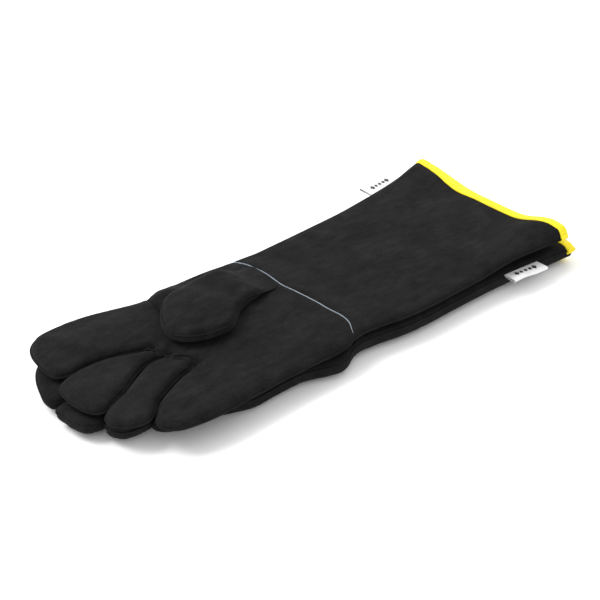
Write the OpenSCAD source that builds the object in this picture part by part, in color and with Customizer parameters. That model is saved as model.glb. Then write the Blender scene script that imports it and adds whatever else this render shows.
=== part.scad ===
// Pair of heat resistant gauntlet gloves, stacked flat, back of hand to back of hand.
// Millimetres. The forearm runs along X: fingertips at -X, cuff mouths at +X.
// The thumb side is +Y. The wrist line is at X = 0 and the pair rests on Z = 0.
// One glove is drawn palm up, from Z = 0 (back of hand) to Z = glove_h (palm).
// The upper glove is that shape lifted, the lower glove is its mirror image.

/* [Glove] */
// Thickness of one glove lying flat
glove_h = 16; // [13.5:0.1:20]
// Height of the side seams above the back of the hand
seam_from_back = 4; // [3:0.1:8]
// Thickness of the suede
leather_t = 1.2; // [1:0.05:1.5]
// Thickness of the cotton lining
lining_t = 0.6; // [0.4:0.05:0.8]
// Air between pieces that move past each other
clearance = 0.3; // [0.2:0.05:0.5]

/* [Hand] */
// Length from the wrist line to the finger creases
hand_len = 133; // [128:1:160]
// Length of the hand's edge past the wrist line, up to the seam
seam_lap = 2; // [1:0.1:3]
// Width at the wrist line
wrist_w = 130; // [108:1:140]
// How far the heel of the hand stands out past the knuckles
hand_bulge = 3; // [1:0.5:5]
// Depth of the notch between two fingers
crotch_depth = 8; // [6:0.5:10]
// Gap between two fingers at the crease
crotch_gap = 3.2; // [3:0.1:4]
// How far the side welts stand out
side_welt = 1.2; // [0.8:0.1:1.5]

/* [Index finger] */
// Width at the crease
index_w = 47.6; // [42:0.1:58]
// Length from the crease to the tip
index_len = 65; // [54:1:78]
// Radius of the tip
index_tip_r = 22; // [18:0.5:26]
// Sideways step of the tip, towards the thumb side
index_step = 10; // [8:0.5:12]
// Straight length next to the crease
index_straight = 10; // [8:0.5:12]

/* [Middle finger] */
// Width at the crease
middle_w = 20; // [16.5:0.1:24]
// Length from the crease to the tip
middle_len = 75; // [70:1:90]
// Radius of the tip
middle_tip_r = 20.5; // [17:0.5:21]
// Sideways step of the tip, towards the thumb side
middle_step = -1; // [-2:0.1:0.5]
// Straight length next to the crease
middle_straight = 20; // [18:0.5:22]

/* [Ring finger] */
// Width at the crease
ring_w = 21; // [17.5:0.1:25.2]
// Length from the crease to the tip
ring_len = 72; // [66:1:86]
// Radius of the tip
ring_tip_r = 17; // [14:0.5:18]
// Sideways step of the tip, towards the thumb side
ring_step = -18; // [-20:0.5:-16]
// Straight length next to the crease
ring_straight = 20; // [18:0.5:22]

/* [Little finger] */
// Width at the crease
little_w = 44; // [40:0.1:53]
// Length from the crease to the tip
little_len = 49; // [41:1:59]
// Radius of the tip
little_tip_r = 16; // [13:0.5:17]
// Sideways step of the tip, towards the thumb side
little_step = -12; // [-14:0.5:-10]
// Straight length next to the crease
little_straight = 10; // [8:0.5:12]

/* [Thumb] */
// Thickness of the upper glove's thumb, plump on top of its palm
thumb_h = 12.5; // [10:0.1:15]
// Thickness of the lower glove's thumb, pressed flat under its palm
pressed_thumb_h = 7.4; // [7:0.1:7.8]
// Distance of the thumb's fold line from the middle of the glove
fold_y = 62; // [56:0.5:64]
// Length of the thumb's root along the fold line
thumb_root = 66; // [55:1:70]
// Distance from the wrist line to the thumb's root
thumb_from_wrist = 16; // [13:1:19]
// Reach of the thumb from its fold line to its tip, across the palm
thumb_reach = 75; // [62:1:80]
// Radius of the thumb's tip
thumb_tip_r = 21.5; // [18:0.5:23]
// Air round the pressed thumb in its hollow
thumb_hollow_gap = 1.5; // [1:0.1:2]
// Size of the opening from the hand into the thumb, along and across the glove
neck_size = [40, 22]; // [15:1:45]

/* [Cuff] */
// Length from the wrist line to the mouth
cuff_len = 212; // [170:1:260]
// Width across the mouth
mouth_w = 166; // [140:1:200]
// Width of the seam edge that stands out at the sides
seam_edge = 2.5; // [1.5:0.1:3]
// Width of the yellow binding
binding_w = 6; // [4:0.5:8]
// Thickness of the yellow binding
binding_t = 0.8; // [0.5:0.05:1]
// Width of the piping on the wrist seam
piping_w = 2; // [1.5:0.1:3]

/* [Label] */
// Length of the label along the seam
label_len = 34; // [28:1:42]
// How far the label stands out from the seam
label_out = 14; // [11:0.5:18]
// Distance from the wrist line to the label
label_from_wrist = 148; // [120:1:165]
// Radius of the label at the seam
label_root_r = 0.8; // [0.7:0.05:1]
// Radius of the label's outer fold
label_fold_r = 1.5; // [1.2:0.1:2]
// Thickness of the label's ribbon
label_t = 0.4; // [0.3:0.05:0.5]

/* [Hidden] */

SUEDE = "#2b2b2b";
YELLOW = "#fff200";
PIPING = "#9aa6b2";
COTTON = "#c9c4b8";
RIBBON = "#e0e0e0";

INDEX = 0;
MIDDLE = 1;
RING = 2;
LITTLE = 3;
// Width at the crease, length, tip radius, sideways step and straight length of each finger
fingers = [
    [index_w, index_len, index_tip_r, index_step, index_straight],
    [middle_w, middle_len, middle_tip_r, middle_step, middle_straight],
    [ring_w, ring_len, ring_tip_r, ring_step, ring_straight],
    [little_w, little_len, little_tip_r, little_step, little_straight]
];
knuckle_w = index_w + middle_w + ring_w + little_w + 3 * crotch_gap;
crease_x = -hand_len;
arc_steps = 16;
past = 2;
cuff_start = seam_lap + clearance;

// The cuff's panels lie inside the binding and the piping by the binding's thickness
panel_low = binding_t;
panel_high = glove_h - binding_t;

// The pressed thumb lies in a hollow in the lower palm, flush with the palm
hollow_floor = glove_h - pressed_thumb_h - clearance;
thumb_mid_x = -thumb_from_wrist - thumb_root / 2;
thumb_tip = [-thumb_from_wrist - thumb_root - 16, fold_y - thumb_reach + thumb_tip_r];
thumb_waist = [-thumb_from_wrist - 31, thumb_tip[1] - 4];
neck_centre = [thumb_mid_x, fold_y - 18];

// ---- Outlines, seen from the palm side; inset shrinks them all round ----

// Y of the thumb side of finger i at the crease
function finger_far(i) =
    i == 0 ? knuckle_w / 2 : finger_far(i - 1) - fingers[i - 1][0] - crotch_gap;

// Y of the other side of finger i at the crease
function finger_near(i) = finger_far(i) - fingers[i][0];

// Angle at which a line from point p touches the circle round c, turned to one side
function touch_angle(p, c, r, side) =
    atan2(p[1] - c[1], p[0] - c[0]) + side * acos(r / norm(p - c));

// Arc round c from angle a to angle b
function arc(c, r, a, b) =
    [for (k = [0 : arc_steps]) let (t = a + (b - a) * k / arc_steps) c + r * [cos(t), sin(t)]];

// Finger i from its base at x_base to its round tip
function finger_outline(i, inset = 0, x_base = crease_x - clearance) =
    let (
        f = fingers[i],
        far = finger_far(i) - inset,
        near = finger_near(i) + inset,
        tip = [crease_x - f[1] + f[2], (far + near) / 2 + f[3]],
        r = f[2] - inset,
        bend_far = [crease_x - f[4], far],
        bend_near = [crease_x - f[4], near],
        from = touch_angle(bend_far, tip, r, 1),
        to = touch_angle(bend_near, tip, r, -1)
    )
    concat([[x_base, far], bend_far], arc(tip, r, from, to + 360), [bend_near, [x_base, near]]);

// Points along the finger edge of the hand, with a notch between each two fingers
function crease_points(inset, x_edge) =
    [for (i = [0 : 3]) each concat(
        [[x_edge, finger_far(i) - inset], [x_edge, finger_near(i) + inset]],
        i < 3 ? [[crease_x + crotch_depth + inset, finger_near(i) - crotch_gap / 2]] : []
    )];

// Hand from its wrist edge to the creases; over carries both ends further
function hand_outline(inset = 0, over = 0) =
    let (
        edge = seam_lap + over,
        wrist = wrist_w / 2 - inset,
        heel = knuckle_w / 2 + hand_bulge - inset,
        knuckle = knuckle_w / 2 - inset
    )
    concat(
        [[edge, wrist], [0, wrist], [-0.36 * hand_len, heel - 1], [-0.7 * hand_len, knuckle - 4]],
        over > 0 ? [[crease_x, knuckle]] : [],
        crease_points(inset, crease_x - over),
        over > 0 ? [[crease_x, -knuckle]] : [],
        [[-0.95 * hand_len, -knuckle - 1], [-0.5 * hand_len, -heel], [-0.22 * hand_len, 1 - heel]],
        [[0, -wrist], [edge, -wrist]]
    );

// Thumb folded across the palm, from its fold line to its round tip
function thumb_outline(inset = 0) =
    let (
        r = thumb_tip_r - inset,
        root_far = [-thumb_from_wrist - thumb_root + inset, fold_y - clearance - inset],
        root_near = [-thumb_from_wrist - inset, fold_y - clearance - inset],
        waist = thumb_waist + inset * [0, 1],
        from = touch_angle(root_far, thumb_tip, r, 1),
        to = touch_angle(waist, thumb_tip, r, -1)
    )
    concat(
        [root_near, root_far],
        arc(thumb_tip, r, from, to + 360),
        [waist, [-thumb_from_wrist - inset, thumb_waist[1] + 12 + inset]]
    );

// Half width of the cuff at x
function cuff_half(x) = (wrist_w + (mouth_w - wrist_w) * x / cuff_len) / 2;

// Cuff between two places along the forearm
function cuff_outline(inset = 0, from = cuff_start, to = cuff_len) =
    [
        [from, -cuff_half(from) + inset],
        [to, -cuff_half(to) + inset],
        [to, cuff_half(to) - inset],
        [from, cuff_half(from) - inset]
    ];

// ---- Tools ----

// Flat piece of the given outline between two heights
module sheet(outline, low, high) {
    translate([0, 0, low])
        linear_extrude(high - low)
            polygon(outline);
}

// Wall between an outer and an inner outline
module wall(outer, inner, low, high) {
    difference() {
        sheet(outer, low, high);
        sheet(inner, low - past, high + past);
    }
}

// Opening through which the hand goes into the thumb
module neck(low, high) {
    translate([neck_centre[0] - neck_size[0] / 2, neck_centre[1] - neck_size[1] / 2, low])
        cube([neck_size[0], neck_size[1], high - low]);
}

// Places one glove: palm up on top of the pair
module upper() {
    translate([0, 0, glove_h + clearance])
        children();
}

// Places one glove: palm down at the bottom of the pair
module lower() {
    translate([0, 0, glove_h])
        mirror([0, 0, 1])
            children();
}

// ---- Hand ----

// Palm with its half of the side walls, and the neck of a thumb that lies on it
module palm() {
    color(SUEDE)
    difference() {
        union() {
            sheet(hand_outline(), glove_h - leather_t, glove_h);
            wall(hand_outline(), hand_outline(leather_t, past), seam_from_back, glove_h - leather_t);
        }
        neck(glove_h - leather_t - past, glove_h + past);
    }
}

// Palm with a hollow that holds the pressed thumb
module hollow_palm() {
    hollow = thumb_outline(-thumb_hollow_gap);
    hollow_outer = thumb_outline(-thumb_hollow_gap - leather_t);
    color(SUEDE)
    difference() {
        union() {
            sheet(hand_outline(), glove_h - leather_t, glove_h);
            wall(hand_outline(), hand_outline(leather_t, past), seam_from_back, glove_h - leather_t);
            sheet(hollow_outer, hollow_floor - leather_t, glove_h - leather_t);
        }
        sheet(hollow, hollow_floor, glove_h + past);
        neck(hollow_floor - leather_t - past, hollow_floor + past);
    }
}

// Back of the hand with its half of the side walls
module back() {
    color(SUEDE) {
        sheet(hand_outline(), 0, leather_t);
        wall(hand_outline(), hand_outline(leather_t, past), leather_t, seam_from_back);
    }
}

// Strips in the two side seams of the hand
module hand_welts() {
    color(SUEDE)
    difference() {
        sheet(hand_outline(-side_welt), seam_from_back - side_welt / 2, seam_from_back + side_welt / 2);
        sheet(hand_outline(0, past), seam_from_back - past, seam_from_back + past);
        translate([crease_x - past, -knuckle_w, seam_from_back - past])
            cube([2 * crotch_depth, 2 * knuckle_w, 2 * past]);
    }
}

// Lining of the back and of the palm; the palm's leaves room for the given outline
module hand_lining(cut_out) {
    inner = hand_outline(leather_t);
    color(COTTON) {
        sheet(inner, leather_t, leather_t + lining_t);
        difference() {
            sheet(inner, glove_h - leather_t - lining_t, glove_h - leather_t);
            sheet(cut_out, glove_h - leather_t - past, glove_h);
        }
    }
}

// ---- Fingers ----

// Palm side of finger i
module finger_front(i) {
    color(SUEDE) sheet(finger_outline(i), glove_h - leather_t, glove_h);
}

// Back of finger i
module finger_back(i) {
    color(SUEDE) sheet(finger_outline(i), 0, leather_t);
}

// Side strip that runs round finger i and is open at its base
module finger_fourchette(i) {
    color(SUEDE)
    wall(
        finger_outline(i),
        finger_outline(i, leather_t, crease_x + past),
        leather_t,
        glove_h - leather_t
    );
}

// Two lining pads of finger i
module finger_lining(i) {
    inner = finger_outline(i, leather_t);
    color(COTTON) {
        sheet(inner, leather_t, leather_t + lining_t);
        sheet(inner, glove_h - leather_t - lining_t, glove_h - leather_t);
    }
}

// ---- Thumb, between two heights ----

// Outer side of the thumb with its side wall
module thumb_front(low, high) {
    color(SUEDE) {
        sheet(thumb_outline(), high - leather_t, high);
        wall(thumb_outline(), thumb_outline(leather_t), low + leather_t, high - leather_t);
    }
}

// Side of the thumb that faces the palm, with its neck
module thumb_back(low) {
    color(SUEDE)
    difference() {
        sheet(thumb_outline(), low, low + leather_t);
        neck(low - past, low + leather_t + past);
    }
}

// Lining pad of the thumb
module thumb_lining(high) {
    color(COTTON)
    sheet(thumb_outline(leather_t), high - leather_t - lining_t, high - leather_t);
}

// ---- Cuff ----

// Panel that continues the palm
module cuff_palm_panel() {
    color(SUEDE)
    sheet(cuff_outline(0, cuff_start, cuff_len - binding_t), panel_high - leather_t, panel_high);
}

// Panel that continues the back of the hand
module cuff_back_panel() {
    color(SUEDE)
    sheet(cuff_outline(0, cuff_start, cuff_len - binding_t), panel_low, panel_low + leather_t);
}

// Side walls of the cuff with the seam edge that stands out from them
module cuff_side_seams() {
    end = cuff_len - binding_w;
    color(SUEDE)
    difference() {
        union() {
            sheet(
                cuff_outline(0, cuff_start, cuff_len - binding_t),
                panel_low + leather_t,
                panel_high - leather_t
            );
            sheet(
                cuff_outline(-seam_edge, cuff_start + piping_w + clearance, end),
                seam_from_back - leather_t / 2,
                seam_from_back + leather_t / 2
            );
        }
        sheet(cuff_outline(leather_t, -past, cuff_len + past), -past, glove_h + past);
    }
}

// Lining of the two panels
module cuff_lining() {
    inner = cuff_outline(leather_t, cuff_start, cuff_len - binding_w - clearance);
    low = panel_low + leather_t;
    high = panel_high - leather_t;
    color(COTTON) {
        sheet(inner, low, low + lining_t);
        sheet(inner, high - lining_t, high);
    }
}

// Binding folded over the edge of the mouth
module cuff_binding() {
    start = cuff_len - binding_w;
    edge = cuff_len - binding_t;
    inner_low = panel_low + leather_t;
    inner_high = panel_high - leather_t;
    color(YELLOW)
    difference() {
        sheet(cuff_outline(-binding_t, start, cuff_len), 0, glove_h);
        sheet(
            cuff_outline(leather_t + binding_t, start - past, cuff_len + past),
            inner_low + binding_t,
            inner_high - binding_t
        );
        difference() {
            sheet(cuff_outline(0, start - past, edge), panel_low, panel_high);
            sheet(cuff_outline(leather_t, start - 2 * past, edge + past), inner_low, inner_high);
        }
    }
}

// Piping round the wrist seam
module wrist_piping() {
    color(PIPING)
    difference() {
        sheet(cuff_outline(-binding_t, cuff_start, cuff_start + piping_w), 0, glove_h);
        sheet(cuff_outline(0, 0, cuff_start + piping_w + past), panel_low, panel_high);
    }
}

// ---- Label ----

// Section of a loop that widens from its root to its outer fold
function loop_section(inset = 0) =
    let (
        root = [0, 0],
        fold = [label_out - label_fold_r, 0],
        root_r = label_root_r - inset,
        fold_r = label_fold_r - inset,
        lean = asin((fold_r - root_r) / norm(fold - root))
    )
    concat(
        arc(fold, fold_r, -90 - lean, 90 + lean),
        arc(root, root_r, 90 + lean, 270 - lean)
    );

// Folded ribbon that stands out from the seam on one side of the cuff, 1 or -1
module label(side) {
    seam_angle = atan2((mouth_w - wrist_w) / 2, cuff_len);
    root_y = cuff_half(label_from_wrist) + seam_edge + label_root_r + clearance;
    color(RIBBON)
    translate([label_from_wrist, side * root_y, seam_from_back])
        rotate([0, 0, side * seam_angle])
            rotate([90, 0, 90])
                linear_extrude(label_len)
                    difference() {
                        polygon([for (p = loop_section()) [side * p[0], p[1]]]);
                        polygon([for (p = loop_section(label_t)) [side * p[0], p[1]]]);
                    }
}

// ---- Nodes ----

upper_thumb_low = glove_h + clearance;
upper_thumb_high = upper_thumb_low + thumb_h;
pressed_thumb_low = glove_h - pressed_thumb_h;
neck_outline = [
    for (s = [[-1, -1], [1, -1], [1, 1], [-1, 1]])
        neck_centre + [s[0] * neck_size[0] / 2, s[1] * neck_size[1] / 2]
];
hollow_cut = thumb_outline(-thumb_hollow_gap - leather_t);

lower() hollow_palm();  // lower_palm
lower() back();  // lower_back
lower() hand_welts();  // lower_hand_welts
lower() hand_lining(hollow_cut);  // lower_hand_lining
lower() finger_front(INDEX);  // lower_index_front
lower() finger_back(INDEX);  // lower_index_back
lower() finger_fourchette(INDEX);  // lower_index_fourchette
lower() finger_lining(INDEX);  // lower_index_lining
lower() finger_front(MIDDLE);  // lower_middle_front
lower() finger_back(MIDDLE);  // lower_middle_back
lower() finger_fourchette(MIDDLE);  // lower_middle_fourchette
lower() finger_lining(MIDDLE);  // lower_middle_lining
lower() finger_front(RING);  // lower_ring_front
lower() finger_back(RING);  // lower_ring_back
lower() finger_fourchette(RING);  // lower_ring_fourchette
lower() finger_lining(RING);  // lower_ring_lining
lower() finger_front(LITTLE);  // lower_little_front
lower() finger_back(LITTLE);  // lower_little_back
lower() finger_fourchette(LITTLE);  // lower_little_fourchette
lower() finger_lining(LITTLE);  // lower_little_lining
lower() thumb_front(pressed_thumb_low, glove_h);  // lower_thumb_front
lower() thumb_back(pressed_thumb_low);  // lower_thumb_back
lower() thumb_lining(glove_h);  // lower_thumb_lining
lower() cuff_palm_panel();  // lower_cuff_palm_panel
lower() cuff_back_panel();  // lower_cuff_back_panel
lower() cuff_side_seams();  // lower_cuff_side_seams
lower() cuff_lining();  // lower_cuff_lining
lower() cuff_binding();  // lower_cuff_binding
lower() wrist_piping();  // lower_wrist_piping
lower() label(-1);  // lower_label
upper() palm();  // upper_palm
upper() back();  // upper_back
upper() hand_welts();  // upper_hand_welts
upper() hand_lining(neck_outline);  // upper_hand_lining
upper() finger_front(INDEX);  // upper_index_front
upper() finger_back(INDEX);  // upper_index_back
upper() finger_fourchette(INDEX);  // upper_index_fourchette
upper() finger_lining(INDEX);  // upper_index_lining
upper() finger_front(MIDDLE);  // upper_middle_front
upper() finger_back(MIDDLE);  // upper_middle_back
upper() finger_fourchette(MIDDLE);  // upper_middle_fourchette
upper() finger_lining(MIDDLE);  // upper_middle_lining
upper() finger_front(RING);  // upper_ring_front
upper() finger_back(RING);  // upper_ring_back
upper() finger_fourchette(RING);  // upper_ring_fourchette
upper() finger_lining(RING);  // upper_ring_lining
upper() finger_front(LITTLE);  // upper_little_front
upper() finger_back(LITTLE);  // upper_little_back
upper() finger_fourchette(LITTLE);  // upper_little_fourchette
upper() finger_lining(LITTLE);  // upper_little_lining
upper() thumb_front(upper_thumb_low, upper_thumb_high);  // upper_thumb_front
upper() thumb_back(upper_thumb_low);  // upper_thumb_back
upper() thumb_lining(upper_thumb_high);  // upper_thumb_lining
upper() cuff_palm_panel();  // upper_cuff_palm_panel
upper() cuff_back_panel();  // upper_cuff_back_panel
upper() cuff_side_seams();  // upper_cuff_side_seams
upper() cuff_lining();  // upper_cuff_lining
upper() cuff_binding();  // upper_cuff_binding
upper() wrist_piping();  // upper_wrist_piping
upper() label(1);  // upper_label
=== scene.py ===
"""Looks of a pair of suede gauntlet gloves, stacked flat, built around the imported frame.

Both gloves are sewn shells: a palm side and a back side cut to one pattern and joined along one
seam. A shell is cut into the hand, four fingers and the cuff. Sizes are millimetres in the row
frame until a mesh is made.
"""

import logging
import math
from dataclasses import dataclass, field
from enum import Enum
from typing import Optional, Sequence

import bpy
import numpy as np
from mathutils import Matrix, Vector, noise
from mathutils.geometry import delaunay_2d_cdt


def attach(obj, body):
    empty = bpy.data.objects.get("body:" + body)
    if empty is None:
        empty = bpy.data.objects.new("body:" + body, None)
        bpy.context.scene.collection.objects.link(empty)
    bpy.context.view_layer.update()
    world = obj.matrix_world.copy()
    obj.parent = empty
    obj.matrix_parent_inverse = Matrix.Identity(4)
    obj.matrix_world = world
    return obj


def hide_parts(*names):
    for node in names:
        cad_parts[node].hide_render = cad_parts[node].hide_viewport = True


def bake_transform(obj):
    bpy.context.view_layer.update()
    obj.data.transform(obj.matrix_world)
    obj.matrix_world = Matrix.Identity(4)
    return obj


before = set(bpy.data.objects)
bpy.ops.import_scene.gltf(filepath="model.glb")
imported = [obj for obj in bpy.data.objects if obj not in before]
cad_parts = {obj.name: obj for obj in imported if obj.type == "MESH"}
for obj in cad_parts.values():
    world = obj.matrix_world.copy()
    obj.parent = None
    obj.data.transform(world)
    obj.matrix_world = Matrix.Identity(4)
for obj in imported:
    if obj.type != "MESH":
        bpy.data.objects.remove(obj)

LOG = logging.getLogger("gloves")
MM = 0.001
Points = Sequence[Sequence[float]]
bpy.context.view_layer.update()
# Distances from the seam, and to both sides of a crease, at which rows of points are laid
SEAM_ROWS = (0.5, 1.2, 2.2, 3.6)
CREASE_ROWS = (-2.0, -0.9, 0.0, 0.9, 2.0)


# ---------------------------------------------------------------- curves and numbers


def smooth(t: np.ndarray) -> np.ndarray:
    """Makes a smooth step from 0 to 1 of values that are clipped to that range."""
    t = np.clip(t, 0.0, 1.0)
    return t * t * (3.0 - 2.0 * t)


def ramp(values: np.ndarray, start: float, length: float) -> np.ndarray:
    """Rises smoothly from 0 where the values reach start to 1 a length further on."""
    return smooth((values - start) / length)


def evened(values: np.ndarray, rounds: int) -> np.ndarray:
    """Evens out a row of values, with its two ends kept.

    Args:
        values: The values in order.
        rounds: How often each is drawn towards its neighbours.

    Returns:
        The evened values.
    """
    out = values.copy()
    for _ in range(rounds):
        out[1:-1] = (out[:-2] + 2 * out[1:-1] + out[2:]) / 4
    return out


def hill(points: np.ndarray, x: float, y: float, wide_x: float, wide_y: float) -> np.ndarray:
    """Height at each point of a round hill of height 1.

    Args:
        points: Places in plan.
        x: Place of the hill along the glove.
        y: Its place across the glove.
        wide_x: Its half width along the glove.
        wide_y: Its half width across the glove.

    Returns:
        One height for each point.
    """
    return np.exp(-(((points[:, 0] - x) / wide_x) ** 2) - ((points[:, 1] - y) / wide_y) ** 2)


def resample(line: np.ndarray, spacing: float) -> np.ndarray:
    """Places points at even distances along a line.

    Args:
        line: Samples of the line in order.
        spacing: Distance between the new points, in millimetres.

    Returns:
        The new points, with both ends of the line among them.
    """
    steps = np.linalg.norm(np.diff(line, axis=0), axis=1)
    along = np.concatenate([[0.0], np.cumsum(steps)])
    wanted = np.linspace(0, along[-1], max(2, int(round(along[-1] / spacing)) + 1))
    return np.stack([np.interp(wanted, along, line[:, k]) for k in range(line.shape[1])], axis=1)


def curve(points: Points, spacing: float) -> np.ndarray:
    """Runs a smooth curve through points and samples it evenly.

    Args:
        points: Two or more points in two or three dimensions.
        spacing: Distance between samples in millimetres.

    Returns:
        The samples, with both end points among them.
    """
    p = np.array(points, float)
    p = np.vstack([2 * p[0] - p[1], p, 2 * p[-1] - p[-2]])
    t = np.linspace(0, 1, 24, endpoint=False)[:, None]
    runs = [
        0.5 * (2 * b + (c - a) * t + (2 * a - 5 * b + 4 * c - d) * t**2 + (3 * b - a - 3 * c + d) * t**3)
        for a, b, c, d in zip(p[:-3], p[1:-2], p[2:-1], p[3:])
    ]
    return resample(np.vstack(runs + [p[-2:-1]]), spacing)


def folds(points: np.ndarray, wavelength: float, seed: float, stretch: float = 1.0) -> np.ndarray:
    """Soft noise from -1 to 1 at each point, the same at each run.

    Args:
        points: Places in plan.
        wavelength: Size of the folds across the glove, in millimetres.
        seed: Any number; another number gives other folds.
        stretch: How many times longer the folds are along the glove.

    Returns:
        One value for each point.
    """
    return np.array(
        [noise.noise(Vector((p[0] / wavelength / stretch + seed, p[1] / wavelength, seed))) for p in points]
    )


def to_line(points: np.ndarray, line: np.ndarray) -> tuple[np.ndarray, np.ndarray]:
    """Finds how far points lie from a line in plan.

    Args:
        points: Places in plan.
        line: Samples of the line in order.

    Returns:
        The distances, and the vectors from the line's nearest places to the points.
    """
    start, step = line[:-1, :2], np.diff(line[:, :2], axis=0)
    length = (step**2).sum(axis=1) + 1e-12
    best, away = np.zeros(len(points)), np.zeros((len(points), 2))
    for k in range(0, len(points), 1500):
        part = points[k : k + 1500, None, :2] - start[None]
        t = np.clip((part * step).sum(axis=2) / length, 0, 1)
        gap = part - t[..., None] * step
        far = np.sqrt((gap**2).sum(axis=2))
        near = far.argmin(axis=1)
        rows = np.arange(len(near))
        best[k : k + 1500], away[k : k + 1500] = far[rows, near], gap[rows, near]
    return best, away


def inside(points: np.ndarray, outline: np.ndarray) -> np.ndarray:
    """Finds the points that lie inside a closed outline.

    Args:
        points: Places in plan.
        outline: Corners of the outline in order.

    Returns:
        True for each point inside.
    """
    a, b = outline, np.roll(outline, -1, axis=0)
    px, py = points[:, 0][:, None], points[:, 1][:, None]
    crosses = (a[:, 1] > py) != (b[:, 1] > py)
    climb = np.where(b[:, 1] == a[:, 1], 1e-9, b[:, 1] - a[:, 1])
    at = a[:, 0] + (py - a[:, 1]) / climb * (b[:, 0] - a[:, 0])
    return ((crosses & (px < at)).sum(axis=1) % 2) == 1


# ---------------------------------------------------------------- meshes


def make_piece(
    name: str,
    verts: np.ndarray,
    faces: Sequence[Sequence[int]],
    finish: bpy.types.Material,
    normals: Optional[np.ndarray] = None,
) -> bpy.types.Object:
    """Makes a smooth mesh object from millimetre coordinates.

    Args:
        name: Name of the piece.
        verts: Its corners, in millimetres.
        faces: Corner numbers of each face.
        finish: Its material.
        normals: Shading normals of the corners, where a neighbour has to join without a line.

    Returns:
        The new object, at the origin.
    """
    mesh = bpy.data.meshes.new(name)
    mesh.from_pydata((np.asarray(verts) * MM).tolist(), [], [list(map(int, f)) for f in faces])
    mesh.validate()
    mesh.polygons.foreach_set("use_smooth", [True] * len(mesh.polygons))
    mesh.materials.append(finish)
    if normals is not None:
        mesh.normals_split_custom_set_from_vertices(normals.tolist())
    mesh.update()
    piece = bpy.data.objects.new(name, mesh)
    bpy.context.scene.collection.objects.link(piece)
    return piece


def tube(
    line: np.ndarray, radius: float | np.ndarray, sides: int = 8, flat: float = 1.0
) -> tuple[np.ndarray, list]:
    """Sweeps a round or flattened section along a line and closes both ends.

    Args:
        line: Samples of the centreline in three dimensions.
        radius: Half width of the section, one value or one for each sample.
        sides: Corners of the section.
        flat: Height of the section as a share of its width.

    Returns:
        Corners and faces.
    """
    ahead = np.gradient(line, axis=0)
    ahead /= np.linalg.norm(ahead, axis=1)[:, None]
    up = np.array([0.0, 0.0, 1.0])
    turn = np.linspace(0, 2 * math.pi, sides, endpoint=False)
    rings = []
    for point, along, half in zip(line, ahead, np.broadcast_to(radius, len(line))):
        side = np.cross(along, up)
        side /= np.linalg.norm(side)
        up = np.cross(side, along)
        rings.append(point + half * (np.outer(np.cos(turn), side) + flat * np.outer(np.sin(turn), up)))
    n, faces = len(line), []
    for i in range(n - 1):
        for k in range(sides):
            j = (k + 1) % sides
            faces.append((i * sides + k, i * sides + j, (i + 1) * sides + j, (i + 1) * sides + k))
    faces.append(tuple(reversed(range(sides))))
    faces.append(tuple(range((n - 1) * sides, n * sides)))
    return np.vstack(rings), faces


def joined(parts: Sequence[tuple[np.ndarray, list]]) -> tuple[np.ndarray, list]:
    """Puts several sets of corners and faces into one.

    Args:
        parts: Corners and faces of each set.

    Returns:
        The corners and faces of all.
    """
    verts, faces, count = [], [], 0
    for v, f in parts:
        verts.append(v)
        faces += [tuple(i + count for i in face) for face in f]
        count += len(v)
    return np.vstack(verts), faces


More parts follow.
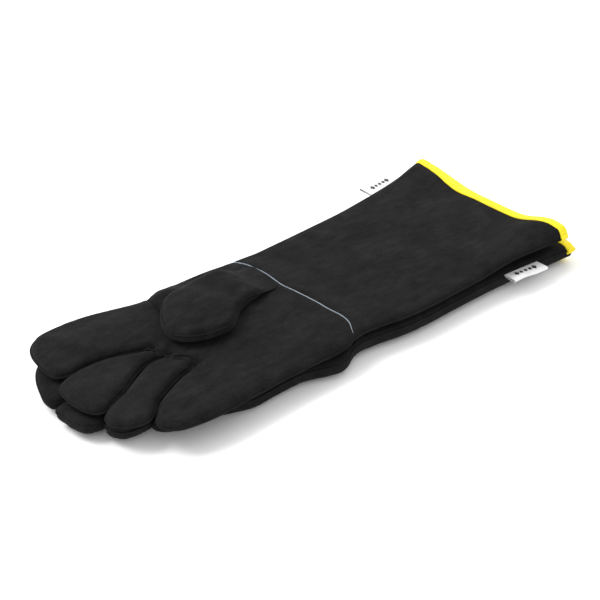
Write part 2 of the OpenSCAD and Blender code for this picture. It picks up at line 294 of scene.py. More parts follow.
@dataclass
class Net:
    """A flat net of triangles over one cut of the pattern.

    Attributes:
        outline: Corners of the outline in order.
        sewn: True for each corner that lies on a seam and not on the open mouth.
        creases: Lines along which the net is laid finer.
        spacing: Size of the triangles in the open field.
        points: All points of the net.
        faces: Its triangles.
        pairs: Its edges.
        is_sewn: True for each point on a seam.
        depth: Distance of each point from the seam.
        away: Direction from the nearest place of the seam to each point.
    """

    outline: np.ndarray
    sewn: np.ndarray
    creases: list[np.ndarray] = field(default_factory=list)
    spacing: float = 2.8
    points: np.ndarray = field(init=False)
    faces: np.ndarray = field(init=False)
    pairs: np.ndarray = field(init=False)
    is_sewn: np.ndarray = field(init=False)
    depth: np.ndarray = field(init=False)
    away: np.ndarray = field(init=False)

    def __post_init__(self) -> None:
        """Lays the net: rows close to the seam and the creases, and an even field between them."""
        ahead = np.roll(self.outline, -1, axis=0) - np.roll(self.outline, 1, axis=0)
        inward = np.stack([-ahead[:, 1], ahead[:, 0]], axis=1) / np.linalg.norm(ahead, axis=1)[:, None]
        if (inside(self.outline + 0.05 * inward, self.outline)).mean() < 0.5:
            inward = -inward
        loop = np.vstack([self.outline, self.outline[:1]])
        extra = []
        for offset in SEAM_ROWS:
            row = self.outline[self.sewn] + offset * inward[self.sewn]
            row = row[inside(row, self.outline)]
            extra.append(row[to_line(row, loop)[0] > 0.93 * offset])
        for line in self.creases:
            run = np.gradient(line, axis=0)
            side = np.stack([-run[:, 1], run[:, 0]], axis=1) / np.linalg.norm(run, axis=1)[:, None]
            for offset in CREASE_ROWS:
                row = line + offset * side
                row = row[inside(row, self.outline)]
                extra.append(row[to_line(row, loop)[0] > 4.2])
        low, high = self.outline.min(axis=0), self.outline.max(axis=0)
        rows = []
        for k, y in enumerate(np.arange(low[1], high[1], self.spacing * 0.866)):
            x = np.arange(low[0] + (k % 2) * self.spacing / 2, high[0], self.spacing)
            rows.append(np.stack([x, np.full(len(x), y)], axis=1))
        grid = np.vstack(rows)
        grid = grid[inside(grid, self.outline)]
        grid = grid[to_line(grid, loop)[0] > np.where(self._by_mouth(grid), 1.6, 5.0)]
        for line in self.creases:
            grid = grid[to_line(grid, line)[0] > 3.2]
        points = np.vstack([self.outline, *extra, grid])
        count = len(self.outline)
        edges = [(i, (i + 1) % count) for i in range(count)]
        made = delaunay_2d_cdt([Vector(p) for p in points], edges, [], 1, 1e-5)
        self.points = np.array([tuple(p) for p in made[0]])
        self.faces = np.array([f for f in made[2] if len(f) == 3])
        self.is_sewn = np.array([any(o < count and self.sewn[o] for o in orig) for orig in made[3]])
        seam = np.vstack([self.outline, self.outline[:1]])[np.append(self.sewn, self.sewn[0])]
        self.depth, self.away = to_line(self.points, seam if self.sewn.all() else self.outline[self.sewn])
        self.depth[self.is_sewn] = 0.0
        pairs = np.vstack([self.faces[:, [0, 1]], self.faces[:, [1, 2]], self.faces[:, [2, 0]]])
        self.pairs = np.unique(np.sort(pairs, axis=1), axis=0)

    def _by_mouth(self, points: np.ndarray) -> np.ndarray:
        """Finds the points close to an open edge.

        Args:
            points: Places in plan.

        Returns:
            True for each point within 4 mm of it.
        """
        if self.sewn.all():
            return np.zeros(len(points), bool)
        return to_line(points, self.outline[~self.sewn])[0] < 4.0

    def smoothed(self, values: np.ndarray, weight: np.ndarray, rounds: int) -> np.ndarray:
        """Moves each value towards the mean of its neighbours.

        Args:
            values: One value for each point of the net.
            weight: Share of the way that each value moves.
            rounds: How often it is done.

        Returns:
            The moved values.
        """
        i, j = self.pairs.T
        count = np.bincount(i, minlength=len(values)) + np.bincount(j, minlength=len(values))
        for _ in range(rounds):
            total = np.bincount(i, values[j], len(values)) + np.bincount(j, values[i], len(values))
            values = values + weight * (total / np.maximum(count, 1) - values)
        return values

    def swell(self, reach: float, power: float, rounds: int = 60) -> np.ndarray:
        """How full the shell stands at each point: 0 at the seam and nearly 1 far from it.

        Args:
            reach: Distance from the seam over which the shell rises, in millimetres.
            power: Below 1 for a steep, round side.
            rounds: Rounds of smoothing where ridges could show.

        Returns:
            One value for each point.
        """
        full = 1.0 - np.exp(-self.depth / reach)
        full = self.smoothed(full, smooth((self.depth - 3.0) / 6.0), rounds)
        return np.clip(full, 0.0, 1.0) ** power

    def shell(self, top: np.ndarray, bottom: np.ndarray) -> tuple[np.ndarray, np.ndarray, np.ndarray]:
        """Joins an upper and a lower surface along the seam.

        Args:
            top: Height or full place of each point on the upper surface.
            bottom: The same on the lower surface.

        Returns:
            Corners, faces, and the number of each face's triangle in the net.
        """
        n = len(self.points)
        place = np.arange(n)
        place[~self.is_sewn] = n + np.arange((~self.is_sewn).sum())
        verts = np.vstack([top, bottom[~self.is_sewn]])
        a, b, c = (self.points[self.faces[:, k]] for k in range(3))
        turn = (b[:, 0] - a[:, 0]) * (c[:, 1] - a[:, 1]) - (b[:, 1] - a[:, 1]) * (c[:, 0] - a[:, 0])
        up = np.where((turn > 0)[:, None], self.faces, self.faces[:, ::-1])
        faces = np.vstack([up, place[up][:, ::-1]])
        return verts, faces, np.tile(np.arange(len(up)), 2)


def corner_normals(verts: np.ndarray, faces: np.ndarray) -> np.ndarray:
    """Finds smooth normals of the corners of a mesh of triangles.

    Args:
        verts: The corners.
        faces: Corner numbers of the triangles.

    Returns:
        One unit vector for each corner.
    """
    a, b, c = (verts[faces[:, k]] for k in range(3))
    flat = np.cross(b - a, c - a)
    out = np.zeros_like(verts)
    for k in range(3):
        np.add.at(out, faces[:, k], flat)
    return out / np.maximum(np.linalg.norm(out, axis=1), 1e-9)[:, None]


def lining_gap(net: Net, top: np.ndarray, bottom: np.ndarray, most: float) -> np.ndarray:
    """Finds how deep the lining lies under each corner of a shell: nothing at the seam, most further in.

    Args:
        net: Net of the shell.
        top: Places of the upper surface.
        bottom: Places of the lower surface.
        most: Greatest depth, in millimetres.

    Returns:
        One depth for each corner of the shell.
    """
    room = np.maximum(top[:, 2] - bottom[:, 2], 0)
    gap = np.minimum(np.minimum(most, 0.4 * room), 0.45 * net.depth)
    return np.concatenate([gap, gap[~net.is_sewn]])


def part_of(
    verts: np.ndarray, faces: np.ndarray, normals: np.ndarray
) -> tuple[np.ndarray, np.ndarray, np.ndarray]:
    """Keeps only the corners that the given faces use, and renumbers the faces.

    Args:
        verts: All corners.
        faces: The faces to keep.
        normals: Normals of all corners.

    Returns:
        The kept corners, the faces, and the normals of the kept corners.
    """
    used = np.unique(faces)
    place = np.zeros(len(verts), int)
    place[used] = np.arange(len(used))
    return verts[used], place[faces], normals[used]


# ---------------------------------------------------------------- finishes


def linear(code: str) -> tuple[float, float, float, float]:
    """Turns an sRGB hex colour into linear numbers.

    Args:
        code: The colour, as a hash sign and six hex digits.

    Returns:
        Red, green and blue, and full opacity.
    """
    parts = [int(code[i : i + 2], 16) / 255 for i in (1, 3, 5)]
    return (*[p / 12.92 if p <= 0.04045 else ((p + 0.055) / 1.055) ** 2.4 for p in parts], 1.0)


def add_node(tree: bpy.types.NodeTree, kind: str, links: Optional[dict] = None, **settings) -> bpy.types.Node:
    """Adds a node with its settings and links.

    Args:
        tree: Node tree of the material.
        kind: Blender's name of the node type.
        links: Output sockets by the name or number of the input they go to.
        **settings: Properties of the node, or values of its inputs with spaces written as underscores.

    Returns:
        The new node.
    """
    made = tree.nodes.new(kind)
    for key, value in settings.items():
        if hasattr(made, key):
            setattr(made, key, value)
        else:
            made.inputs[key.replace("_", " ")].default_value = value
    for socket, source in (links or {}).items():
        tree.links.new(source, made.inputs[socket])
    return made


@dataclass(frozen=True)
class Suede:
    """Split cowhide, buffed on both sides: matt and napped, with cloudy light and dark patches."""

    name: str = "split_cowhide_suede_black"
    deep: str = "#010101"
    worn: str = "#232324"
    cloud_mm: float = 22.0
    streak_mm: float = 4.5
    # Real nap is about 0.2 mm; it is drawn at 0.9 mm so that it shows
    nap_mm: float = 0.9
    roughness: float = 0.95
    sheen: float = 0.02

    def make(self) -> bpy.types.Material:
        """Makes the material: clouds and streaks in the colour, nap and grain in the bump.

        Returns:
            The material.
        """
        material = bpy.data.materials.new(self.name)
        material.use_nodes = True
        tree = material.node_tree
        shader = tree.nodes["Principled BSDF"]
        place = add_node(tree, "ShaderNodeTexCoord").outputs["Object"]
        cloud = add_node(tree, "ShaderNodeTexNoise", {"Vector": place}, Scale=1000 / self.cloud_mm,
                         Detail=5.0, Roughness=0.6, Distortion=0.6)
        lean = add_node(tree, "ShaderNodeMapping", {"Vector": place}, Rotation=(0, 0, 0.5),
                        Scale=(0.35, 1.0, 1.0))
        streak = add_node(tree, "ShaderNodeTexNoise", {"Vector": lean.outputs[0]},
                          Scale=1000 / self.streak_mm, Detail=4.0, Roughness=0.55)
        nap = add_node(tree, "ShaderNodeTexNoise", {"Vector": place}, Scale=1000 / self.nap_mm, Detail=3.0,
                       Roughness=0.7)
        patch = add_node(tree, "ShaderNodeMapRange", {"Value": cloud.outputs["Fac"]}, From_Min=0.1,
                         From_Max=0.9)
        worn = add_node(tree, "ShaderNodeMath", {0: patch.outputs[0], 1: streak.outputs["Fac"]},
                        operation="MULTIPLY")
        total = add_node(tree, "ShaderNodeMath", {0: worn.outputs[0], 1: nap.outputs["Fac"]},
                         operation="ADD")
        tone = add_node(tree, "ShaderNodeMapRange", {"Value": total.outputs[0]}, From_Min=0.45,
                        From_Max=1.15)
        tint = add_node(tree, "ShaderNodeValToRGB", {"Fac": tone.outputs[0]})
        tint.color_ramp.elements[0].color = linear(self.deep)
        tint.color_ramp.elements[1].color = linear(self.worn)
        tree.links.new(tint.outputs["Color"], shader.inputs["Base Color"])
        grain = add_node(tree, "ShaderNodeBump", {"Height": streak.outputs["Fac"]}, Strength=0.35,
                         Distance=0.0012)
        fuzz = add_node(tree, "ShaderNodeBump", {"Height": nap.outputs["Fac"], "Normal": grain.outputs[0]},
                        Strength=0.55, Distance=0.0005)
        tree.links.new(fuzz.outputs[0], shader.inputs["Normal"])
        shader.inputs["Roughness"].default_value = self.roughness
        shader.inputs["Specular IOR Level"].default_value = 0.15
        shader.inputs["Sheen Weight"].default_value = self.sheen
        shader.inputs["Sheen Roughness"].default_value = 0.45
        shader.inputs["Sheen Tint"].default_value = linear("#9a9a9c")
        return material


@dataclass(frozen=True)
class Weave:
    """A woven textile: tape, canvas or ribbon, with threads that cross at right angles."""

    name: str
    thread: str
    shade: str
    pitch_mm: float
    roughness: float = 0.8
    relief_mm: float = 0.2
    sheen: float = 0.1

    def make(self) -> bpy.types.Material:
        """Makes the material: two crossing waves give the threads, and noise their uneven tone.

        Returns:
            The material.
        """
        material = bpy.data.materials.new(self.name)
        material.use_nodes = True
        tree = material.node_tree
        shader = tree.nodes["Principled BSDF"]
        place = add_node(tree, "ShaderNodeTexCoord").outputs["Object"]
        # A wave texture repeats each 0.31 of its scale's inverse
        turns = 314.0 / self.pitch_mm
        warp = add_node(tree, "ShaderNodeTexWave", {"Vector": place}, bands_direction="X", Scale=turns)
        weft = add_node(tree, "ShaderNodeTexWave", {"Vector": place}, bands_direction="Y", Scale=turns)
        cloth = add_node(tree, "ShaderNodeMath", {0: warp.outputs["Fac"], 1: weft.outputs["Fac"]},
                         operation="MAXIMUM")
        uneven = add_node(tree, "ShaderNodeTexNoise", {"Vector": place}, Scale=1000 / 5.0, Detail=4.0)
        tone = add_node(tree, "ShaderNodeMath", {0: cloth.outputs[0], 1: uneven.outputs["Fac"]},
                        operation="MULTIPLY")
        tint = add_node(tree, "ShaderNodeValToRGB", {"Fac": tone.outputs[0]})
        for stop, colour, place_on in zip(tint.color_ramp.elements, (self.shade, self.thread), (0.1, 0.4)):
            stop.color, stop.position = linear(colour), place_on
        tree.links.new(tint.outputs["Color"], shader.inputs["Base Color"])
        bump = add_node(tree, "ShaderNodeBump", {"Height": cloth.outputs[0]}, Strength=0.5,
                        Distance=self.relief_mm * MM)
        tree.links.new(bump.outputs[0], shader.inputs["Normal"])
        shader.inputs["Roughness"].default_value = self.roughness
        shader.inputs["Sheen Weight"].default_value = self.sheen
        return material


# Polyester grosgrain binding: bright, slightly ribbed tape
BINDING = Weave("polyester_binding_yellow", "#f4e100", "#d6be00", 1.4, 0.6, 0.25, 0.0)
# Cotton drill lining: off-white, coarse and soft
COTTON = Weave("cotton_drill_natural", "#cfc9bc", "#a49d8f", 1.2, 0.95, 0.25, 0.3)
# Cotton cord in the wrist seam: pale blue-grey with a twist
PIPING = Weave("cotton_piping_grey", "#8d979f", "#5d666e", 1.0, 0.85, 0.15)
# Damask label ribbon: smooth, light grey polyester
RIBBON = Weave("damask_ribbon_light_grey", "#e6e6e6", "#cfcfcf", 0.8, 0.55, 0.05)
# Black bonded nylon thread, slightly glossy
THREAD = Weave("nylon_thread_black", "#202020", "#101010", 0.6, 0.5, 0.05)


class Finish(Enum):
    """The finishes of the gloves."""

    SUEDE = Suede()
    BINDING = BINDING
    COTTON = COTTON
    PIPING = PIPING
    RIBBON = RIBBON
    THREAD = THREAD

    def material(self) -> bpy.types.Material:
        """The Blender material, made once."""
        return bpy.data.materials.get(self.value.name) or self.value.make()


# ---------------------------------------------------------------- the pattern


FINGERS = ("index", "middle", "ring", "little")
# Fewest triangles of a finger
FEWEST_FACES = 40
# Where the fingers leave the hand, where the mouth of the cuff lies, and how far the middle of the mouth sags
# back
FINGER_CUT = -127.0
MOUTH_X = 209.0
MOUTH_SAG = 8.0
# Distances between the samples of the outline and of the creases
OUTLINE_STEP = 2.4
CREASE_STEP = 2.0
# Push of the tips along and across each glove, by distance from the middle of the glove
UPPER_TIPS = ((-70, 1, 1), (-40, 2, 2.5), (0, 2, 1.5), (40, 0, 0), (85, 0, 0))
LOWER_TIPS = ((-68, 6, 4), (-50, 6, 4), (-38, 6, 5), (-24, 2, 3), (-12, -4, -2), (10, -6, -5), (34, -13, -13),
              (55, -14, -20), (85, -4, -14))

# Seen from the palm side, thumb towards +Y; both gloves are cut to it
CUFF_FAR = [(217, 91.5), (198, 86.5), (177, 81), (143, 75.5), (106, 71.5), (68, 70), (25, 70), (5, 71)]
HAND_FAR = [(5, 71), (-13, 72.5), (-32, 75), (-52, 76), (-70, 75.5), (-84, 74), (-95, 73.5), (-112, 78.5)]
INDEX_RUN = [(-112, 78.5), (-128, 83), (-150, 87), (-171, 88), (-182, 86), (-190.5, 79.5), (-195.5, 69.5),
             (-198, 57), (-199, 45.5), (-197.5, 38), (-189, 34.2), (-175, 34.6), (-160, 33), (-147, 29.8),
             (-136, 25.8), (-128.5, 23.2), (-123.5, 20.6)]
MIDDLE_RUN = [(-123.5, 20.6), (-129.5, 19.2), (-142, 23), (-156, 28.2), (-171, 31.2), (-186, 31.4), (-198, 29),
              (-205, 24), (-208.5, 13), (-210, 1), (-208, -11), (-203, -18), (-196, -18.6), (-188, -14),
              (-176, -9.5), (-164, -3.2), (-153, 3.2), (-142, 7.4), (-132, 8), (-126, 7.2), (-121.5, 5.6)]
RING_RUN = [(-121.5, 5.6), (-127, 4.4), (-134, 4.8), (-143, 3.8), (-153, -0.6), (-164, -6.5), (-176, -12.6),
            (-188, -17), (-197, -21.5), (-203.5, -28), (-204, -37), (-198, -44), (-188, -48), (-180, -47.6),
            (-172, -42.5), (-165, -35.5), (-156, -30.5), (-145, -25.2), (-134, -20.6), (-123, -17.4),
            (-113, -15.6)]
LITTLE_RUN = [(-113, -15.6), (-123, -20.4), (-134, -24), (-145, -28.6), (-156, -34), (-165, -39.5),
              (-172, -46.5), (-178, -52.5), (-179.5, -59), (-176, -65.5), (-169, -70), (-158, -72.6),
              (-143, -74), (-121, -73), (-98, -71.6)]
HAND_NEAR = [(-98, -71.6), (-75, -70.3), (-50, -70.6), (-31, -71.5), (-17, -70.3), (-6, -66.5), (4, -64.6)]
CUFF_NEAR = [(4, -64.6), (20, -66.5), (43, -70.5), (65, -71.6), (88, -71), (120, -70.6), (146, -71),
             (175, -73.5), (192, -75.5), (213, -77)]
WRIST_LINE = [(-9, 76), (-6, 62), (-4, 48), (-4, 30), (-5, 12), (-1.5, -10), (0, -30), (1.5, -45), (0.5, -54),
              (-2.5, -60), (-5, -66), (-7, -76)]
BASE_LINE = [(-129.5, 24), (-127.6, 13), (-127, 5), (-124, -2), (-119.8, -7), (-117.4, -13), (-118.5, -19)]
KNUCKLE_ROLL = [(-133, 22.6), (-129, 23), (-126, 19.5), (-124.8, 12), (-124, 5), (-121.5, -0.5), (-117.5, -4.5),
                (-114, -8), (-112.3, -12.5), (-113.5, -18), (-117.5, -21)]
WEB_LINE = [(-89, 76), (-91.5, 66), (-94.5, 54), (-97, 43), (-100, 37)]
# Each crease of the upper surface and its depth
CREASES = ((WRIST_LINE, 1.1), (BASE_LINE, 2.8), (WEB_LINE, 4.0))
CREASE_WIDTH = 1.6
CROTCHES = ((-126.5, 18), (-121, 4.5), (-116, -16.5))
# Height, place and half widths of each hill and hollow of the upper glove: the near corner of the
# mouth, its far side, the ball of the thumb, the index, and the hollow of the palm
UPPER_HILLS = ((5.2, MOUTH_X, -65, 34, 20), (-3.6, MOUTH_X, 38, 44, 30), (10.0, -79, 61, 13, 13),
               (1.5, -150, 58, 40, 20), (-1.8, -60, -30, 40, 20))
# Height of the palm under the folded thumb
PALM_Z = 30.2
# Seam of the folded thumb, from its root round the tip
THUMB_RUN = [(-10, 70.5), (-22, 72), (-38, 73), (-52, 72.5), (-64, 70), (-73, 63.5), (-82, 56), (-91, 48.5),
             (-101, 38.5), (-110, 26), (-115, 13), (-114, 5), (-108, -2), (-100, -6.5), (-90, -9.2),
             (-80, -10), (-71, -7), (-63, -0.5), (-54, 5.5), (-43, 9.5), (-30, 11.5), (-20, 12.8),
             (-11.5, 14.5), (-8, 26), (-7, 40), (-8, 56), (-10, 70.5)]


class Glove(Enum):
    """The two gloves of the pair."""

    UPPER = "upper"
    LOWER = "lower"

    def body(self, part: str) -> str:
        """Name of the CAD body of a part of this glove."""
        return f"{self.value}_{part}"


def wrist_x(y: np.ndarray) -> np.ndarray:
    """Place of the wrist seam along the glove, at each distance from its middle."""
    line = curve(WRIST_LINE, 2.0)[::-1]
    return np.interp(y, line[:, 1], line[:, 0])


@dataclass
class Shell:
    """One glove without its thumb: palm side and back side sewn along one seam.

    Attributes:
        glove: Which glove of the pair.
        seam_z: Height of the seam.
        hand_rise: How far the hand stands above the seam.
        finger_rise: How far the fingers stand above it.
        cuff_rise: How far the cuff stands above it.
        top_reach: Distance from the seam over which the upper surface rises.
        top_power: Below 1 for a steep, round upper side.
        drop: How far the lower surface lies below the seam.
        drop_reach: Distance from the seam over which the lower surface drops.
        drop_power: Below 1 for a steep wall under the seam.
        bulge: How far that wall stands out past the seam.
        mouth_shift: How much further along the mouth lies than on the pattern.
        lining_depth: Leather and slack between the surface and the lining.
    """

    glove: Glove
    seam_z: float
    hand_rise: float
    finger_rise: float
    cuff_rise: float
    top_reach: float
    top_power: float
    drop: float
    drop_reach: float
    drop_power: float
    bulge: float = 0.0
    mouth_shift: float = 0.0
    lining_depth: float = 1.4
    net: Net = field(init=False)
    seam: np.ndarray = field(init=False)
    top: np.ndarray = field(init=False)
    bottom: np.ndarray = field(init=False)

    def moved(self, points: np.ndarray) -> np.ndarray:
        """Lays the pattern's points as this glove lies, with its tips and its mouth pushed along.

        Args:
            points: Places on the pattern.

        Returns:
            Their places on the glove.
        """
        out = points.copy()
        x, y = points[:, 0], points[:, 1]
        push = np.array(UPPER_TIPS if self.glove is Glove.UPPER else LOWER_TIPS, float)
        share = ramp(-x, 105, 75)
        out[:, 0] += share * np.interp(y, push[:, 0], push[:, 1])
        out[:, 1] += share * np.interp(y, push[:, 0], push[:, 2])
        out[:, 0] += self.mouth_shift * ramp(x, 90, 110) * (1 + 0.6 * ramp(y, 20, 60))
        if self.glove is Glove.LOWER:
            # The near side is drawn in under the upper glove, but for a lump at the wrist
            out[:, 1] -= 4.0 * hill(points, -24, -74, 11, 12)
            tucked_in = 5.0 * ramp(-x, 34, 26) + 9.0 * ramp(-x, 95, 40)
            out[:, 1] += tucked_in * ramp(-y, 38, 26)
        return out

    def lay(self) -> None:
        """Lays the net over the outline and raises both surfaces."""
        runs = (CUFF_FAR, HAND_FAR, INDEX_RUN, MIDDLE_RUN, RING_RUN, LITTLE_RUN, HAND_NEAR, CUFF_NEAR)
        sewn = [curve(run, OUTLINE_STEP)[:-1] for run in runs]
        near, far = np.array([CUFF_NEAR[-1]], float), np.array([CUFF_FAR[0]], float)
        mouth = resample(np.vstack([near, far]), OUTLINE_STEP)[1:-1]
        mouth[:, 0] -= MOUTH_SAG * np.sin(np.linspace(0, math.pi, len(mouth)))
        outline = self.moved(np.vstack(sewn + [near, mouth]))
        is_sewn = np.arange(len(outline)) <= sum(len(run) for run in sewn)
        self.net = Net(outline, is_sewn, [curve(line, CREASE_STEP) for line, _ in CREASES])
        self.seam = outline[is_sewn]
        self.top = self._top(self.net.points)
        self.bottom = self._bottom(self.net.points)

    def height_at(self, plan: np.ndarray, surface: np.ndarray) -> np.ndarray:
        """Finds heights of a surface from the four nearest points of the net.

        Args:
            plan: Places in plan.
            surface: The upper or the lower surface.

        Returns:
            One height for each place.
        """
        gap = ((self.net.points[None] - plan[:, None]) ** 2).sum(axis=2)
        close = np.argsort(gap, axis=1)[:, :4]
        weight = 1.0 / (np.take_along_axis(gap, close, axis=1) + 0.3)
        weight /= weight.sum(axis=1)[:, None]
        return (surface[:, 2][close] * weight).sum(axis=1)

    def seam_height(self, p: np.ndarray) -> np.ndarray:
        """Height of the seam: slightly wavy, and raised on the upper glove's far edge and near mouth.

        Args:
            p: Places in plan.

        Returns:
            One height for each place.
        """
        wave = 0.8 * folds(p, 55, 3.1)
        if self.glove is Glove.UPPER:
            far_edge = 1.6 * ramp(p[:, 1], 30, 40) * ramp(p[:, 0], -20, 60)
            near_mouth = 5.0 * ramp(p[:, 0], 112, 55) * ramp(-p[:, 1], 30, 34)
            return self.seam_z + wave + far_edge + near_mouth
        return self.seam_z + 0.6 * wave

    def _top(self, p: np.ndarray) -> np.ndarray:
        """Raises the upper surface, with its folds, creases and hollows.

        Args:
            p: Points of the net.

        Returns:
            Their places in three dimensions.
        """
        x, depth = p[:, 0], self.net.depth
        cuff = smooth((x - wrist_x(p[:, 1])) / 30)
        finger = ramp(-x, 110, 25)
        rise = self.hand_rise * (1 - cuff) * (1 - finger) + self.cuff_rise * cuff + self.finger_rise * finger
        if self.glove is Glove.UPPER:
            for height, *place in UPPER_HILLS:
                rise = rise + height * hill(p, *place)
        # Rounder towards the near corner of the mouth, flatter with a crisp edge on the fingers
        reach = self.top_reach * (1 - 0.62 * hill(p, MOUTH_X, -74, 40, 22)) * (1 - 0.42 * finger)
        z = self.seam_height(p) + rise * self._full(reach)
        loose = smooth(depth / 12)
        z = z + loose * (0.9 * folds(p, 17, 7.7, 1.4) * (1 - cuff) + 1.8 * folds(p, 30, 9.2, 1.6) * cuff)
        z = z + loose * 0.35 * folds(p, 7.5, 1.7)
        # Stitch line just inside the seams of the fingers
        z = z - 0.45 * np.exp(-(((depth - 2.2) / 0.6) ** 2)) * finger
        for line, deep in CREASES:
            gap = to_line(p, curve(line, CREASE_STEP))[0]
            z = z - deep * np.exp(-((gap / CREASE_WIDTH) ** 2)) * smooth(depth / 4)
        for place in CROTCHES:
            z = z - 6.0 * hill(p, *place, 3.6, 2.6) * smooth(depth / 1.5)
        return np.column_stack([p, z])

    def _full(self, reach: np.ndarray) -> np.ndarray:
        """Finds the fullness of the upper surface for a reach that changes from place to place.

        Args:
            reach: Distance from the seam over which each point's surroundings rise.

        Returns:
            One value from 0 to 1 for each point.
        """
        full = 1.0 - np.exp(-self.net.depth / reach)
        full = self.net.smoothed(full, smooth((self.net.depth - 3.0) / 6.0), 60)
        return np.clip(full, 0, 1) ** self.top_power

    def _bottom(self, p: np.ndarray) -> np.ndarray:
        """Lowers the under surface, bulged out past the seam where the wall is tall.

        Args:
            p: Points of the net.

        Returns:
            Their places in three dimensions.
        """
        seam = self.seam_height(p)
        x = p[:, 0]
        full = self.net.swell(self.drop_reach, 1.0, 20)
        steep = self.drop_power + (0.72 - self.drop_power) * ramp(-x, 90, 60)
        # The lower glove lies on the floor, but its mouth leaves room for the binding
        rest = 16.4 if self.glove is Glove.UPPER else 0.15 + 1.6 * smooth((x - MOUTH_X + 8) / 8)
        z = np.maximum(seam - self.drop * full ** steep, rest)
        out = np.column_stack([p, z])
        share = np.clip((seam - z) / np.maximum(seam - rest, 0.1), 0, 1)
        near = smooth(1 - self.net.depth / 9)
        length = np.maximum(np.linalg.norm(self.net.away, axis=1), 1e-6)
        push = self.bulge * np.sin(math.pi * share) * near / length
        out[:, :2] -= self.net.away * push[:, None]
        if self.glove is Glove.LOWER:
            # Room for the thumb, pressed flat under the palm
            loop = curve(THUMB_RUN, 3.0)
            over = np.where(inside(p, loop[:-1]), 1.0, smooth(1 - to_line(p, loop)[0] / 6))
            over = over * smooth((70 - p[:, 1]) / 10)
            out[:, 2] = np.maximum(out[:, 2], 8.0 * over)
        return out

    def regions(self) -> dict[str, np.ndarray]:
        """Finds the triangles of the net that belong to the cuff, each finger and the hand.

        Returns:
            For each region, a mask over the net's triangles.
        """
        faces = self.net.faces
        centre = self.net.points[faces].mean(axis=1)
        regions = {"cuff": centre[:, 0] > wrist_x(centre[:, 1])}
        tips = centre[:, 0] < FINGER_CUT
        count = len(self.net.points)
        ahead = self.net.points[:, 0] < FINGER_CUT
        group = np.where(ahead, np.arange(count), count)
        own = faces[tips]
        for _ in range(200):
            low = group[own].min(axis=1)
            before = group.copy()
            for k in range(3):
                np.minimum.at(group, own[:, k], low)
            group[~ahead] = count
            if (before == group).all():
                break
        kinds = np.where(tips, group[faces].min(axis=1), -1)
        found = [(centre[kinds == k][:, 1].mean(), k) for k in np.unique(kinds[tips])
                 if (kinds == k).sum() > FEWEST_FACES]
        if len(found) != len(FINGERS):
            raise ValueError(f"{self.glove.value}: {len(found)} fingers found")
        for name, (_, kind) in zip(FINGERS, sorted(found, reverse=True)):
            regions[name] = kinds == kind
        regions["hand"] = ~np.any(list(regions.values()), axis=0)
        return regions

    def build(self) -> list[bpy.types.Object]:
        """Makes the leather, the lining and the welt of each region, and hangs the hand's pieces on the hand.

        Returns:
            The pieces.
        """
        verts, faces, source = self.net.shell(self.top, self.bottom)
        normals = corner_normals(verts, faces)
        thick = lining_gap(self.net, self.top, self.bottom, self.lining_depth)
        inner, inner_faces = verts - thick[:, None] * normals, faces[:, ::-1]
        inner_normals = corner_normals(inner, inner_faces)
        g = self.glove.value
        pieces = []
        for region, mask in self.regions().items():
            keep = mask[source]
            v, f, n = part_of(verts, faces[keep], normals)
            leather = make_piece(f"{g}_{region}_leather", v, f, Finish.SUEDE.material(), n)
            v, f, n = part_of(inner, inner_faces[keep], inner_normals)
            lining = make_piece(f"{g}_{region}_cotton", v, f, Finish.COTTON.material(), n)
            welt = self._welt(region, mask)
            if region == "hand":
                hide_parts(f"{g}_palm", f"{g}_back")
                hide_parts(f"{g}_hand_welts")
                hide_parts(f"{g}_hand_lining")
            elif region == "cuff":
                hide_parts(f"{g}_cuff_palm_panel", f"{g}_cuff_back_panel")
                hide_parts(f"{g}_cuff_side_seams")
                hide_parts(f"{g}_cuff_lining")
            else:
                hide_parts(f"{g}_{region}_front", f"{g}_{region}_back")
                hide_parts(f"{g}_{region}_fourchette")
                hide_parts(f"{g}_{region}_lining")
            for piece, finish in ((leather, Finish.SUEDE), (lining, Finish.COTTON), (welt, Finish.SUEDE)):
                self.hang(piece, region)
                pieces.append(piece)
        return pieces

    def hang(self, piece: bpy.types.Object, region: str) -> None:
        """Lets a piece of the hand ride on the hand; a piece of any other region is baked where it lies.

        Args:
            piece: Leather, lining or welt.
            region: The region that it belongs to.
        """
        hand = self.glove.body("hand")
        if region == "hand":
            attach(piece, hand)
            return
        self.glove.body(region)
        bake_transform(piece)

    def _welt(self, region: str, mask: np.ndarray) -> bpy.types.Object:
        """Makes the strip of suede that stands out of the seam round a region.

        Args:
            region: Name of the region.
            mask: Its triangles in the net.

        Returns:
            The welt, which ends short of the binding.
        """
        seam = self.seam
        line = np.column_stack([seam, self.seam_height(seam)])
        centre = self.net.points[self.net.faces].mean(axis=1)
        near = np.array([np.argmin(((centre - s) ** 2).sum(axis=1)) for s in seam])
        ends = np.where(seam[:, 1] > 0, seam[0, 0], seam[-1, 0])
        own = mask[near] & (seam[:, 0] < ends - 5.0)
        parts, run = [], []
        for k in range(len(line)):
            if own[k]:
                run.append(k)
            if run and (not own[k] or k == len(line) - 1):
                if len(run) > 2:
                    parts.append(tube(line[max(run[0] - 1, 0) : min(run[-1] + 2, len(line))], 1.15, 8, 0.7))
                run = []
        verts, faces = joined(parts)
        return make_piece(f"{self.glove.value}_{region}_welt", verts, faces, Finish.SUEDE.material())


